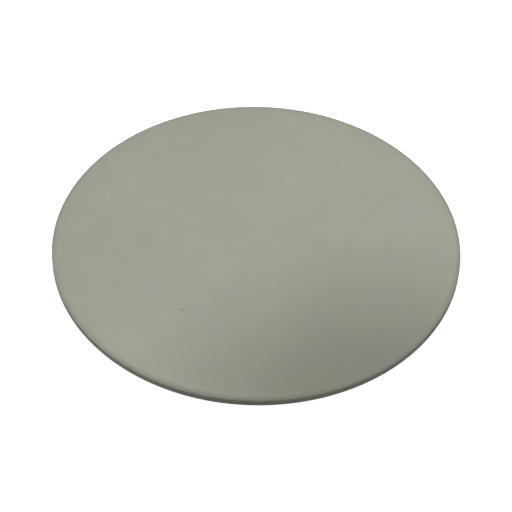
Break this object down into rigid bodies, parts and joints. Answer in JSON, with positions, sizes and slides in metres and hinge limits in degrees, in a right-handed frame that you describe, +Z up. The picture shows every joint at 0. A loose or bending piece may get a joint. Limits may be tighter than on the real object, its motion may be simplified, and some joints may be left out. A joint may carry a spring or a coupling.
{
  "type": "manhole cover",
  "caption": "Round blank-topped steel access cover with a rolled rim, a locating ring that drops into a round opening, a rubber seal and radial stiffeners underneath.",
  "frame": {"origin": "centre of the locating ring's bottom edge, on the cover's axis", "axes": "+Z up, out of the top face; +X along the first rib"},
  "size_m": [0.6499, 0.65, 0.036],
  "materials": {
    "powder_coat": "satin powder coat, warm grey",
    "coated_steel": "thin satin powder coat over welded bar",
    "seal_rubber": "matt extruded rubber"
  },
  "bodies": {
    "root": {"top_skin": "powder_coat", "edge_band": "powder_coat", "locating_ring": "coated_steel", "seal_seat": "coated_steel", "seal": "seal_rubber", "hub_ring": "coated_steel", "rib_1": "coated_steel", "rib_2": "coated_steel", "rib_3": "coated_steel", "rib_4": "coated_steel", "rib_5": "coated_steel", "rib_6": "coated_steel", "rib_7": "coated_steel", "rib_8": "coated_steel", "cross_bar_1": "coated_steel", "cross_bar_2": "coated_steel", "cross_bar_3": "coated_steel", "cross_bar_4": "coated_steel", "cross_bar_5": "coated_steel", "cross_bar_6": "coated_steel", "cross_bar_7": "coated_steel", "cross_bar_8": "coated_steel"}
  },
  "joints": []
}
